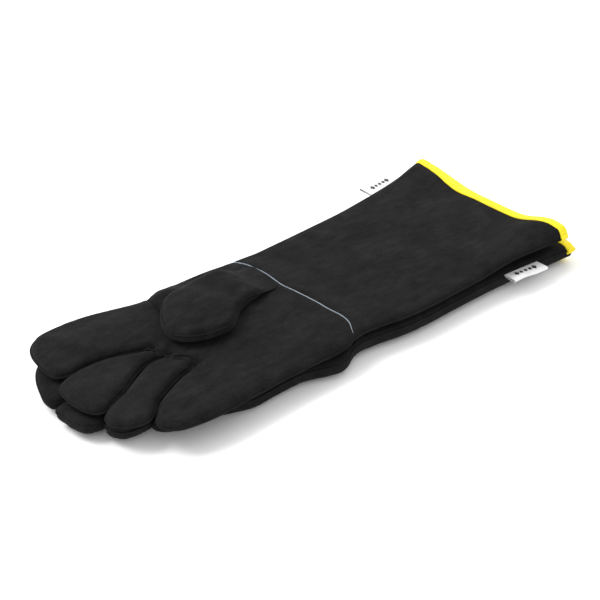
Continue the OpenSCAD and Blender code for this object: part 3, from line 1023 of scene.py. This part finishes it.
@dataclass
class Thumb:
    """The thumb of one glove, folded flat across the palm: a pillow sewn round its edge.

    Attributes:
        shell: The glove it belongs to.
        seam_z: Height of the seam at the tip.
        rise: How far the outer surface stands above the seam.
        drop: How far the inner surface lies below it.
        root_z: Height of the seam at the root.
        reach: Distance from the seam over which the outer surface rises.
        power: Below 1 for a steep, round side.
        bulge: How far the wall under the seam stands out past it.
    """

    shell: Shell
    seam_z: float
    rise: float
    drop: float
    root_z: float
    reach: float = 8.0
    power: float = 0.55
    bulge: float = 2.6

    def heights(self, net: Net) -> tuple[np.ndarray, np.ndarray, np.ndarray]:
        """Finds the heights of the outer and the inner surface.

        Args:
            net: Net over the thumb's outline.

        Returns:
            Outer heights, inner heights, and how much of the wall stands free at each point.
        """
        p = net.points
        x, y = p[:, 0], p[:, 1]
        full = net.swell(self.reach, self.power, 50)
        if self.shell.glove is Glove.LOWER:
            base = self.seam_z + (self.root_z - self.seam_z) * ramp(y, 56, 15)
            return base + self.rise * full, np.maximum(base - self.drop * full, 0.12), np.zeros(len(p))
        root = ramp(y, 44, 26)
        tucked = ramp(-x, 12, 34)
        base = self.seam_z + (self.root_z - self.seam_z) * root
        base = base - (self.seam_z - PALM_Z) * (1 - tucked) * (1 - root)
        rise = self.rise * (0.15 + 0.85 * tucked) * (1 - 0.45 * root) + 1.4 * hill(p, -88, 16, 26, 20)
        top = base + rise * full
        loose = smooth(net.depth / 8)
        top = top + loose * (0.9 * folds(p, 16, 4.4, 1.3) + 0.4 * folds(p, 7, 2.2))
        # Shallow fold across the ball of the thumb
        top = top - loose * 1.3 * np.exp(-((x + 62 + 0.5 * (y - 30)) / 6) ** 2) * smooth((60 - y) / 25)
        drop = self.drop * (0.12 + 0.88 * tucked) * (1 - 0.9 * root)
        return top, base - drop * net.swell(2.0, 0.5, 10), tucked * (1 - root)

    def build(self) -> list[bpy.types.Object]:
        """Makes the leather, the lining and the welt, baked where they lie.

        Returns:
            The pieces.
        """
        glove = self.shell.glove
        g = glove.value
        outline = curve(THUMB_RUN, 2.2)[:-1]
        net = Net(outline, np.ones(len(outline), bool), [], 2.4)
        top, bottom, wall = self.heights(net)
        surface = np.column_stack([net.points, top])
        under = np.column_stack([net.points, bottom])
        near = smooth(1 - net.depth / 6) * smooth(net.depth / 0.6)
        length = np.maximum(np.linalg.norm(net.away, axis=1), 1e-6)
        under[:, :2] -= net.away * (self.bulge * wall * near / length)[:, None]
        verts, faces, _ = net.shell(surface, under)
        normals = corner_normals(verts, faces)
        leather = make_piece(f"{g}_thumb_leather", verts, faces, Finish.SUEDE.material(), normals)
        verts = verts - lining_gap(net, surface, under, 1.3)[:, None] * normals
        lining = make_piece(f"{g}_thumb_cotton", verts, faces[:, ::-1], Finish.COTTON.material())
        welt = self._welt(net, outline, top)
        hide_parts(f"{g}_thumb_front", f"{g}_thumb_back")
        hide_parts(f"{g}_thumb_lining")
        hand, thumb = glove.body("hand"), glove.body("thumb")
        for piece, finish in ((leather, Finish.SUEDE), (lining, Finish.COTTON), (welt, Finish.SUEDE)):
            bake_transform(piece)
        return [leather, lining, welt]

    def _welt(self, net: Net, outline: np.ndarray, top: np.ndarray) -> bpy.types.Object:
        """Makes the welt round the free edge of the thumb.

        Args:
            net: Net over the thumb's outline.
            outline: The outline in order.
            top: Heights of the outer surface.

        Returns:
            The welt, open at the root.
        """
        seam = net.points[net.is_sewn]
        order = [int(np.argmin(((seam - o) ** 2).sum(axis=1))) for o in outline]
        line = np.column_stack([seam, top[net.is_sewn]])[order]
        line = line[line[:, 1] < 62]
        start = int(np.argmax(np.linalg.norm(np.diff(line, axis=0), axis=1))) + 1
        line = np.vstack([line[start:], line[:start]])[2:-2]
        verts, faces = tube(line, 0.9, 8, 0.7)
        return make_piece(f"{self.shell.glove.value}_thumb_welt", verts, faces, Finish.SUEDE.material())


@dataclass
class MouthBinding:
    """Ribbed tape folded over the raw edge all round the mouth of a cuff."""

    shell: Shell
    width: float = 7.0
    thickness: float = 1.1

    def _row(self, back: float) -> np.ndarray:
        """Runs round the mouth, over the top and back below.

        Args:
            back: Distance in from the edge of the mouth.

        Returns:
            Points in order.
        """
        seam = self.shell.seam
        far, near = seam[: len(seam) // 4], seam[-len(seam) // 4 :]
        share = 0.5 - 0.5 * np.cos(math.pi * np.linspace(0.0, 1.0, 70))
        x_at = near[-1][0] + share * (far[0][0] - near[-1][0]) - MOUTH_SAG * np.sin(math.pi * share) - back
        y_near = np.interp(x_at, near[:, 0], near[:, 1])
        y_far = np.interp(x_at, far[::-1, 0], far[::-1, 1])
        spread = (2 * share - 1) * (self.shell.bulge + 0.4)
        plan = np.column_stack([x_at, y_near + share * (y_far - y_near) + spread])
        over = np.column_stack([plan, self.shell.height_at(plan, self.shell.top)])
        below = np.column_stack([plan, self.shell.height_at(plan, self.shell.bottom)])
        middle = (over[:, 2] + below[:, 2]) / 2
        for row, sign in ((over, 1), (below, -1)):
            row[:, 2] = middle + sign * np.maximum(sign * (row[:, 2] - middle), 0.25)
        return np.vstack([over, below[::-1][1:-1]])

    def _outward(self, edge: np.ndarray, ahead: np.ndarray) -> np.ndarray:
        """Finds which way the face of the tape looks.

        Args:
            edge: Points round the mouth.
            ahead: Directions out of the mouth at the points.

        Returns:
            One unit vector for each point.
        """
        out = np.cross(ahead, np.roll(edge, -1, axis=0) - np.roll(edge, 1, axis=0))
        out /= np.linalg.norm(out, axis=1)[:, None]
        if out[len(out) // 4][2] < 0:
            out = -out
        for _ in range(2):
            out = np.roll(out, 1, axis=0) + 2 * out + np.roll(out, -1, axis=0)
            out /= np.linalg.norm(out, axis=1)[:, None]
        return out

    def build(self) -> list[bpy.types.Object]:
        """Makes the tape and hangs it on the cuff.

        Returns:
            The tape.
        """
        edge, deep = self._row(0.0), self._row(self.width)
        for row in (edge, deep):
            for _ in range(3):
                row[:, 2] = (np.roll(row[:, 2], 1) + 2 * row[:, 2] + np.roll(row[:, 2], -1)) / 4
        ahead = edge - deep
        ahead /= np.linalg.norm(ahead, axis=1)[:, None]
        out = self._outward(edge, ahead)
        w, t = self.width, self.thickness
        # Distance out of the mouth and distance proud of the leather, from the sewn edge round the fold
        section = [(-w, 0.2), (-w + 0.3, 0.75 * t), (-w + 1.0, t), (-2.6, 1.1 * t), (-0.4, t), (0.7, 0.45 * t),
                   (1.0, -0.4 * t), (0.6, -1.2 * t), (-0.8, -1.75 * t), (-w + 0.4, -1.6 * t)]
        rings = []
        for forward, proud in section:
            share = np.clip(-forward / w, 0, 1)
            base = edge + share * (deep - edge) if forward < 0 else edge + forward * ahead
            rings.append(base + proud * out)
        n, m = len(edge), len(rings)
        faces = []
        for k in range(m):
            for i in range(n):
                j, up = (i + 1) % n, (k + 1) % m
                faces.append((k * n + i, k * n + j, up * n + j, up * n + i))
        glove = self.shell.glove
        tape = make_piece(f"{glove.value}_mouth_binding", np.vstack(rings), faces, Finish.BINDING.material())
        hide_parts(f"{glove.value}_cuff_binding")
        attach(tape, glove.body("cuff"))
        return [tape]


@dataclass
class WristPiping:
    """Pale cord caught in the wrist seam, on the outer side of each glove, thinner at its near end."""

    shell: Shell
    radius: float = 0.42

    def build(self) -> list[bpy.types.Object]:
        """Makes the cord, baked where it lies.

        Returns:
            The cord.
        """
        glove = self.shell.glove
        upper = glove is Glove.UPPER
        line = curve(WRIST_LINE, 1.6)
        line = line[inside(line, self.shell.seam)]
        height = self.shell.height_at(line, self.shell.top if upper else self.shell.bottom)
        height = evened(height, 4)
        path = np.column_stack([line, height + (0.4 if upper else -0.4)])
        if not upper:
            path[:, 2] = np.maximum(path[:, 2], 0.9)
        path = resample(path, 1.4)
        verts, faces = tube(path, self.radius * (0.35 + 0.65 * ramp(path[:, 1], -66, 14)), 8)
        cord = make_piece(f"{glove.value}_wrist_cord", verts, faces, Finish.PIPING.material())
        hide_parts(f"{glove.value}_wrist_piping")
        hand, cuff = glove.body("hand"), glove.body("cuff")
        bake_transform(cord)
        return [cord]


@dataclass
class KnuckleSeam:
    """Raised seam between the palm and the finger fronts, turned down into the leather at its ends."""

    shell: Shell
    radius: float = 1.2
    proud: float = 0.7
    end_dip: float = 2.5
    end_share: float = 0.12

    def build(self) -> list[bpy.types.Object]:
        """Makes the roll of suede and hangs it on the hand.

        Returns:
            The roll.
        """
        glove = self.shell.glove
        line = self.shell.moved(curve(KNUCKLE_ROLL, 1.0))
        height = evened(self.shell.height_at(line, self.shell.top), 6) + self.proud
        share = np.linspace(0, 1, len(line))
        height = height - self.end_dip * smooth(1 - share / self.end_share)
        height = height - self.end_dip * smooth((share - 1 + self.end_share) / self.end_share)
        verts, faces = tube(np.column_stack([line, height]), self.radius, 8, 0.8)
        roll = make_piece(f"{glove.value}_knuckle_seam", verts, faces, Finish.SUEDE.material())
        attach(roll, glove.body("hand"))
        return [roll]


@dataclass
class Label:
    """Ribbon folded once and sewn into the side seam of a cuff, with a row of woven lozenges.

    Attributes:
        glove: The glove it belongs to.
        root: Its first corner on the seam.
        length: Length along the seam.
        reach: How far it stands out of the seam.
        slope: Sideways drift of the seam for each millimetre along.
        fold: Radius of the fold.
        thickness: Thickness of the ribbon.
        marks: Number of lozenges.
    """

    glove: Glove
    root: tuple[float, float, float]
    length: float = 34.0
    reach: float = 12.0
    slope: float = 0.0
    fold: float = 1.1
    thickness: float = 0.35
    marks: int = 5

    @property
    def side(self) -> float:
        """1 for a label on the far seam, -1 for one on the near seam."""
        return 1.0 if self.glove is Glove.UPPER else -1.0

    def _sag(self, x: float) -> float:
        """How far the outer edge sags at a place along the label."""
        return 0.5 * math.sin(x / self.length * 5.0)

    def _section(self) -> tuple[np.ndarray, int]:
        """Draws the folded ribbon seen from its end.

        Returns:
            The corners, out along the outer face and back along the inner one, and the corners of one face.
        """
        turn = np.linspace(-math.pi / 2, math.pi / 2, 9)
        outer = [(0.0, -0.35), (2.0, -0.6), (self.reach * 0.6, -self.fold)]
        outer += [(self.reach - self.fold + self.fold * math.cos(a), self.fold * math.sin(a)) for a in turn]
        outer += [(self.reach * 0.6, self.fold), (2.0, 0.6), (0.0, 0.35)]
        loop = curve(outer, 0.7)
        run = np.gradient(loop, axis=0)
        out = np.stack([run[:, 1], -run[:, 0]], axis=1) / np.linalg.norm(run, axis=1)[:, None]
        return np.vstack([loop, (loop - self.thickness * out)[::-1]]), len(loop)

    def _ribbon(self) -> bpy.types.Object:
        """Sweeps the section along the seam.

        Returns:
            The ribbon.
        """
        section, half = self._section()
        x0, y0, z0 = self.root
        xs = np.linspace(0, self.length, 18)
        verts = []
        for x in xs:
            sag, tilt = self._sag(x), 0.02 * math.sin(x * 0.21)
            for a, b in section:
                y = y0 + self.side * (a + x * self.slope)
                verts.append((x0 + x, y, z0 + b + a * tilt + sag * a / self.reach))
        n = len(section)
        faces = []
        for i in range(len(xs) - 1):
            for k in range(n):
                j = (k + 1) % n
                quad = (i * n + k, i * n + j, (i + 1) * n + j, (i + 1) * n + k)
                faces.append(quad if self.side > 0 else quad[::-1])
        for i, last in ((0, False), (len(xs) - 1, True)):
            for k in range(half - 1):
                quad = (i * n + k, i * n + k + 1, i * n + n - 2 - k, i * n + n - 1 - k)
                faces.append(quad if last != (self.side > 0) else quad[::-1])
        return make_piece(f"{self.glove.value}_label_ribbon", np.array(verts), faces, Finish.RIBBON.material())

    def _mark(self) -> bpy.types.Object:
        """Lays the lozenges on the upper face, the first and the last a little larger.

        Returns:
            All lozenges as one piece.
        """
        x0, y0, z0 = self.root
        box = [(0, 1, 2, 3), (7, 6, 5, 4), (0, 4, 5, 1), (1, 5, 6, 2), (2, 6, 7, 3), (3, 7, 4, 0)]
        marks = []
        for k in range(self.marks):
            cx, cy = self.length * (0.24 + 0.13 * k), self.reach * 0.48
            size = 2.1 if k in (0, self.marks - 1) else 1.5
            z = z0 + self.fold + 0.28 + self._sag(cx) * cy / self.reach
            rows = [(-size, 0), (0, -size * 1.25), (size, 0), (0, size * 1.25)]
            top = [(x0 + cx + a, y0 + self.side * (cy + b + cx * self.slope), z) for a, b in rows]
            low = [(a, b, c - 0.5) for a, b, c in top]
            marks.append((np.array(top + low), box))
        verts, faces = joined(marks)
        mark = make_piece(f"{self.glove.value}_label_mark", verts, faces, Finish.THREAD.material())
        mark.data.polygons.foreach_set("use_smooth", [False] * len(mark.data.polygons))
        return mark

    def build(self) -> list[bpy.types.Object]:
        """Makes the ribbon and its woven mark, and hangs both on the label's body.

        Returns:
            The pieces.
        """
        ribbon, mark = self._ribbon(), self._mark()
        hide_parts(f"{self.glove.value}_label")
        for piece in (ribbon, mark):
            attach(piece, self.glove.body("label"))
        return [ribbon, mark]


@dataclass
class Studio:
    """White floor, soft lights and the camera. Sizes are metres and degrees."""

    azimuth: float = -41.5
    elevation: float = 33.0
    distance: float = 1.509
    aim: tuple[float, float, float] = (0.0, 0.0, 0.020)
    lens: float = 120.0
    floor_half: float = 6.0
    floor_z: float = -0.0004
    # Name, place, size and watts of each light
    lights: tuple = (
        ("key", (-1.0, 1.1, 1.7), 1.1, 35.0),
        ("fill", (-1.2, -1.6, 1.5), 1.6, 5.0),
        ("back", (1.6, 0.6, 1.2), 1.0, 8.0),
    )

    def floor(self) -> None:
        """Lays a plain pale floor of matt painted board."""
        mesh = bpy.data.meshes.new("floor")
        half = self.floor_half
        corners = [(-half, -half, 0), (half, -half, 0), (half, half, 0), (-half, half, 0)]
        mesh.from_pydata(corners, [], [(0, 1, 2, 3)])
        board = bpy.data.objects.new("floor", mesh)
        bpy.context.scene.collection.objects.link(board)
        board.location.z = self.floor_z
        material = bpy.data.materials.new("matt_white_board")
        material.use_nodes = True
        tree = material.node_tree
        shader = tree.nodes["Principled BSDF"]
        place = add_node(tree, "ShaderNodeTexCoord").outputs["Object"]
        grain = add_node(tree, "ShaderNodeTexNoise", {"Vector": place}, Scale=300.0, Detail=2.0)
        tint = add_node(tree, "ShaderNodeValToRGB", {"Fac": grain.outputs["Fac"]})
        tint.color_ramp.elements[0].color = linear("#fbfbfb")
        tint.color_ramp.elements[1].color = linear("#ffffff")
        tree.links.new(tint.outputs["Color"], shader.inputs["Base Color"])
        shader.inputs["Roughness"].default_value = 0.9
        shader.inputs["Specular IOR Level"].default_value = 0.2
        mesh.materials.append(material)

    def light(self, name: str, place: tuple[float, float, float], size: float, watts: float) -> None:
        """Hangs a soft square light that faces the gloves.

        Args:
            name: Name of the light.
            place: Where it hangs.
            size: Length of its side.
            watts: Its power.
        """
        lamp = bpy.data.lights.new(name, "AREA")
        lamp.size, lamp.energy = size, watts
        made = bpy.data.objects.new(name, lamp)
        made.location = place
        made.rotation_euler = (Vector(self.aim) - Vector(place)).to_track_quat("-Z", "Y").to_euler()
        bpy.context.scene.collection.objects.link(made)

    def camera(self) -> None:
        """Sets the camera up and makes it the scene's own."""
        a, e = math.radians(self.azimuth), math.radians(self.elevation)
        back = Vector((math.sin(a) * math.cos(e), -math.cos(a) * math.cos(e), math.sin(e)))
        camera = bpy.data.objects.new("camera", bpy.data.cameras.new("camera"))
        camera.data.lens, camera.data.sensor_width = self.lens, 36.0
        camera.location = Vector(self.aim) + back * self.distance
        camera.rotation_euler = (-back).to_track_quat("-Z", "Y").to_euler()
        bpy.context.scene.collection.objects.link(camera)
        bpy.context.scene.camera = camera

    def build(self) -> None:
        """Sets up floor, world, lights and camera."""
        self.floor()
        world = bpy.data.worlds.new("studio")
        world.use_nodes = True
        sky = world.node_tree.nodes["Background"]
        sky.inputs["Color"].default_value = (1.0, 1.0, 1.0, 1.0)
        sky.inputs["Strength"].default_value = 1.0
        bpy.context.scene.world = world
        bpy.context.scene.view_settings.view_transform = "Standard"
        for name, place, size, watts in self.lights:
            self.light(name, place, size, watts)
        self.camera()


def log_pieces(pieces: Sequence[bpy.types.Object]) -> None:
    """Logs the name and the number of faces of each piece."""
    for piece in pieces:
        LOG.info("%s: %d faces", piece.name, len(piece.data.polygons))


def main() -> None:
    """Builds the gloves and the studio, and reports each piece."""
    logging.basicConfig(level=logging.INFO, format="%(message)s")
    upper = Shell(Glove.UPPER, seam_z=20.3, hand_rise=9.0, finger_rise=8.0, cuff_rise=6.2, top_reach=9.0,
                  top_power=0.55, drop=4.2, drop_reach=3.0, drop_power=0.6)
    lower = Shell(Glove.LOWER, seam_z=12.0, hand_rise=4.2, finger_rise=4.3, cuff_rise=4.0, top_reach=4.5,
                  top_power=0.55, drop=12.2, drop_reach=5.0, drop_power=0.42, bulge=1.6, mouth_shift=8.0)
    for shell in (upper, lower):
        shell.lay()
        for part in (shell, MouthBinding(shell), WristPiping(shell), KnuckleSeam(shell)):
            log_pieces(part.build())
    log_pieces(Thumb(upper, seam_z=36.2, rise=7.6, drop=6.6, root_z=21.4).build())
    log_pieces(Thumb(lower, seam_z=4.2, rise=3.4, drop=4.0, root_z=11.0).build())
    log_pieces(Label(Glove.UPPER, (146, 76.0, 21.6), slope=0.12, reach=15.0).build())
    log_pieces(Label(Glove.LOWER, (149, -69.5, 12.6), slope=0.09, reach=13.0).build())
    Studio().build()
    LOG.info("floor, lights and camera")


if __name__ == "__main__":
    main()
